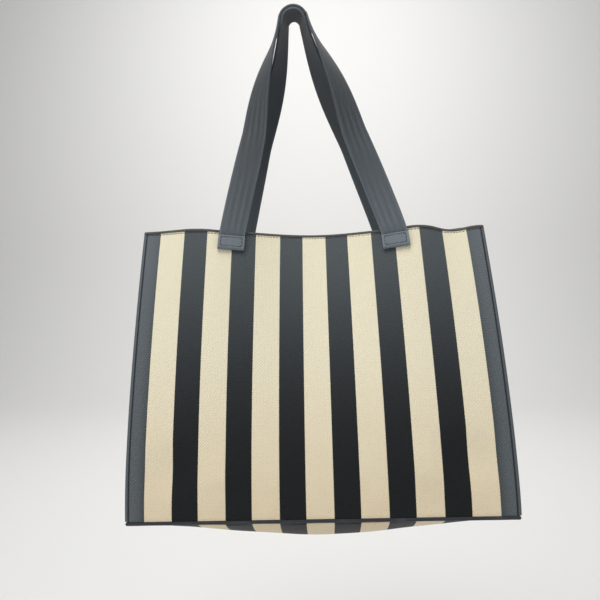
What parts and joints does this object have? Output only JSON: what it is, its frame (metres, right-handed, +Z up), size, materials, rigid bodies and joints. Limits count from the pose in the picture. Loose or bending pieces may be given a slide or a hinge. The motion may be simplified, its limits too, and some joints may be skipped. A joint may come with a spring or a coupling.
{
  "type": "striped canvas tote bag",
  "caption": "Open-topped canvas tote with broad vertical stripes, a pleated gusset each side, a sagging base and two strap handles hung together on a peg.",
  "frame": {"origin": "hang point: top of the peg under the two handles, midway along the handles' width", "axes": "+X to the right across the front, +Y towards the wall behind, +Z up"},
  "size_m": [0.4058, 0.1513, 0.5977],
  "materials": {
    "striped_canvas": "thick knitted canvas, cream and charcoal stripes",
    "rim_tape": "taupe tape turned over the mouth",
    "piping": "dark corded piping",
    "strap": "dense charcoal webbing, satin",
    "thread": "dark sewing thread"
  },
  "bodies": {
    "bag": {"back_facing": "rim_tape", "back_left_seam_thread": "thread", "back_left_tab": "strap", "back_left_tab_box_stitch": "thread", "back_panel": "striped_canvas", "back_piping": "piping", "back_right_seam_thread": "thread", "back_right_tab": "strap", "back_right_tab_box_stitch": "thread", "base_panel": "striped_canvas", "front_piping": "piping", "left_facing": "rim_tape", "left_gusset": "striped_canvas", "left_piping": "piping", "right_facing": "rim_tape", "right_gusset": "striped_canvas", "right_piping": "piping"},
    "front": {"front_facing": "rim_tape", "front_left_seam_thread": "thread", "front_left_tab": "strap", "front_left_tab_box_stitch": "thread", "front_panel": "striped_canvas", "front_right_seam_thread": "thread", "front_right_tab": "strap", "front_right_tab_box_stitch": "thread"},
    "front_handle": {"front_handle": "strap"},
    "back_handle": {"back_handle": "strap"}
  },
  "joints": [
    {"name": "mouth_open", "type": "hinge", "parent": "bag", "child": "front", "pos_m": [0.0257, -0.106, -0.5465], "axis": [0.9998, 0, 0.021], "range_deg": [0, 15]},
    {"name": "front_handle_swing", "type": "hinge", "parent": "front", "child": "front_handle", "pos_m": [0.0257, -0.04583, -0.25352], "axis": [1, 0, 0], "range_deg": [0, 155]},
    {"name": "back_handle_swing", "type": "hinge", "parent": "bag", "child": "back_handle", "pos_m": [0.0257, 0.0437, -0.2622], "axis": [-1, 0, 0], "range_deg": [0, 155]}
  ]
}
